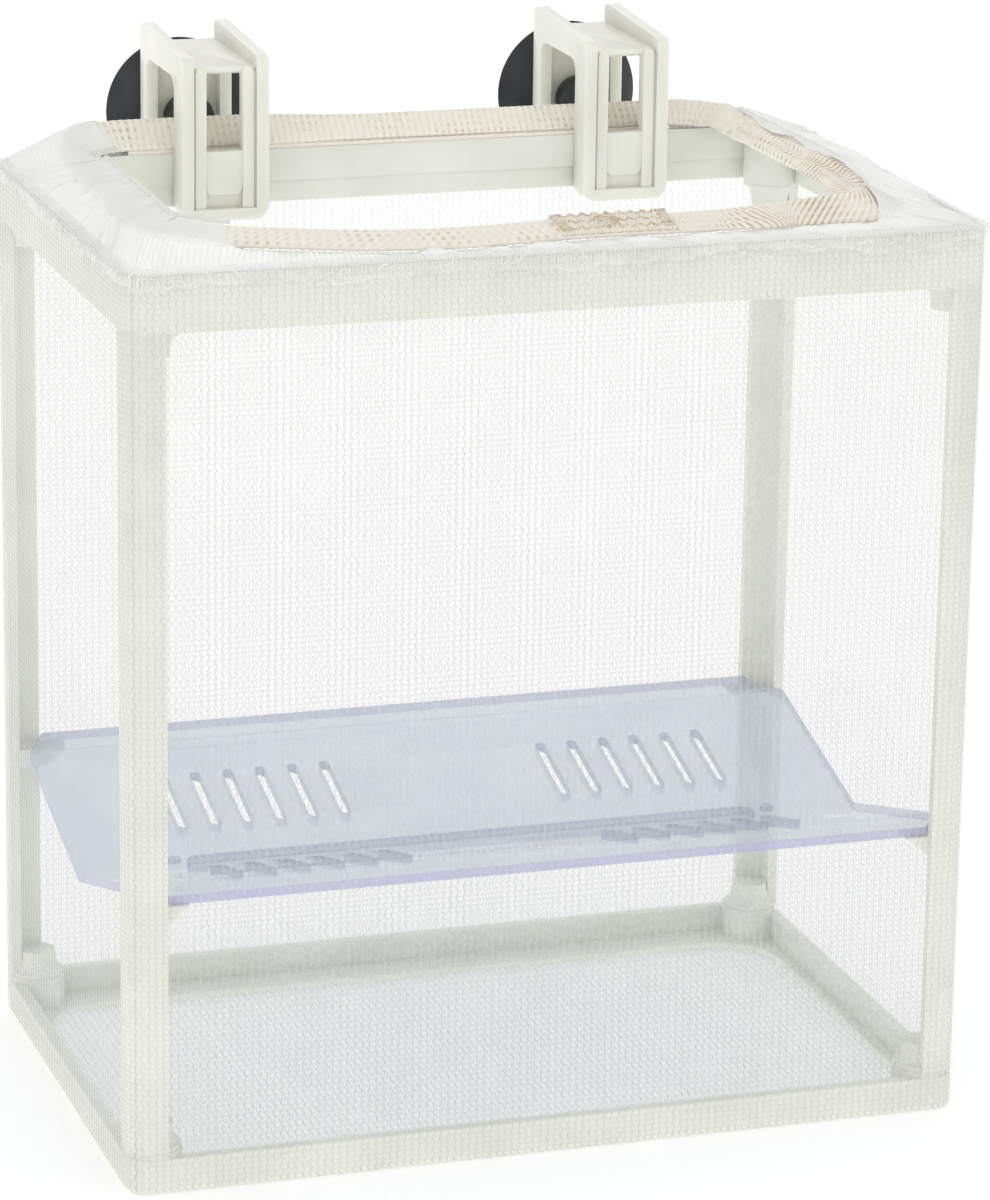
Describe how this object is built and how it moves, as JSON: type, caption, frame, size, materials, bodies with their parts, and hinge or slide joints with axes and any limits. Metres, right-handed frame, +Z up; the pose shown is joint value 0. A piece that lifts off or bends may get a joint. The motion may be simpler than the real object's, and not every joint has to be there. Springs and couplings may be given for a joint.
{
  "type": "fish breeding box",
  "caption": "Upright plastic frame in a fitted net bag with an elastic mouth, a clear V-shaped slotted divider inside, and hooks with suction cups on the rear rail.",
  "frame": {"origin": "centre of the net floor's underside", "axes": "+Z up, -Y to the front, the hangers on the rear rail at +Y, X along the width"},
  "size_m": [0.165, 0.1356, 0.195],
  "materials": {
    "ivory_plastic": "satin moulded",
    "hanger_plastic": "satin moulded",
    "white_net": "knitted net",
    "cream_elastic": "knitted elastic",
    "clear_blue_plastic": "clear polished",
    "black_rubber": "smooth"
  },
  "bodies": {
    "box": {"top_ring": "ivory_plastic", "bottom_ring": "ivory_plastic", "post_front_left": "ivory_plastic", "post_front_right": "ivory_plastic", "post_rear_left": "ivory_plastic", "post_rear_right": "ivory_plastic", "net_front": "white_net", "net_rear": "white_net", "net_left": "white_net", "net_right": "white_net", "net_floor": "white_net", "net_corner_front_left": "white_net", "net_corner_front_right": "white_net", "net_corner_rear_left": "white_net", "net_corner_rear_right": "white_net", "cuff_front": "white_net", "cuff_rear": "white_net", "cuff_left": "white_net", "cuff_right": "white_net", "elastic_band": "cream_elastic", "elastic_joint": "cream_elastic"},
    "divider": {"divider": "clear_blue_plastic"},
    "hanger_left": {"hanger_left": "hanger_plastic"},
    "hanger_right": {"hanger_right": "hanger_plastic"},
    "cup_left": {"suction_cup_left": "black_rubber"},
    "cup_right": {"suction_cup_right": "black_rubber"}
  },
  "joints": [
    {"name": "divider_lift", "type": "slide", "parent": "box", "child": "divider", "axis": [0, 0, 1], "range_m": [0, 0.095]},
    {"name": "hanger_left_slide", "type": "slide", "parent": "box", "child": "hanger_left", "axis": [1, 0, 0], "range_m": [-0.008, 0.023]},
    {"name": "hanger_right_slide", "type": "slide", "parent": "box", "child": "hanger_right", "axis": [1, 0, 0], "range_m": [-0.029, 0.003]},
    {"name": "cup_left_turn", "type": "hinge", "parent": "hanger_left", "child": "cup_left", "pos_m": [-0.0381, 0.0765, 0.176], "axis": [0, 1, 0], "continuous": true},
    {"name": "cup_right_turn", "type": "hinge", "parent": "hanger_right", "child": "cup_right", "pos_m": [0.04415, 0.0765, 0.176], "axis": [0, 1, 0], "continuous": true}
  ]
}
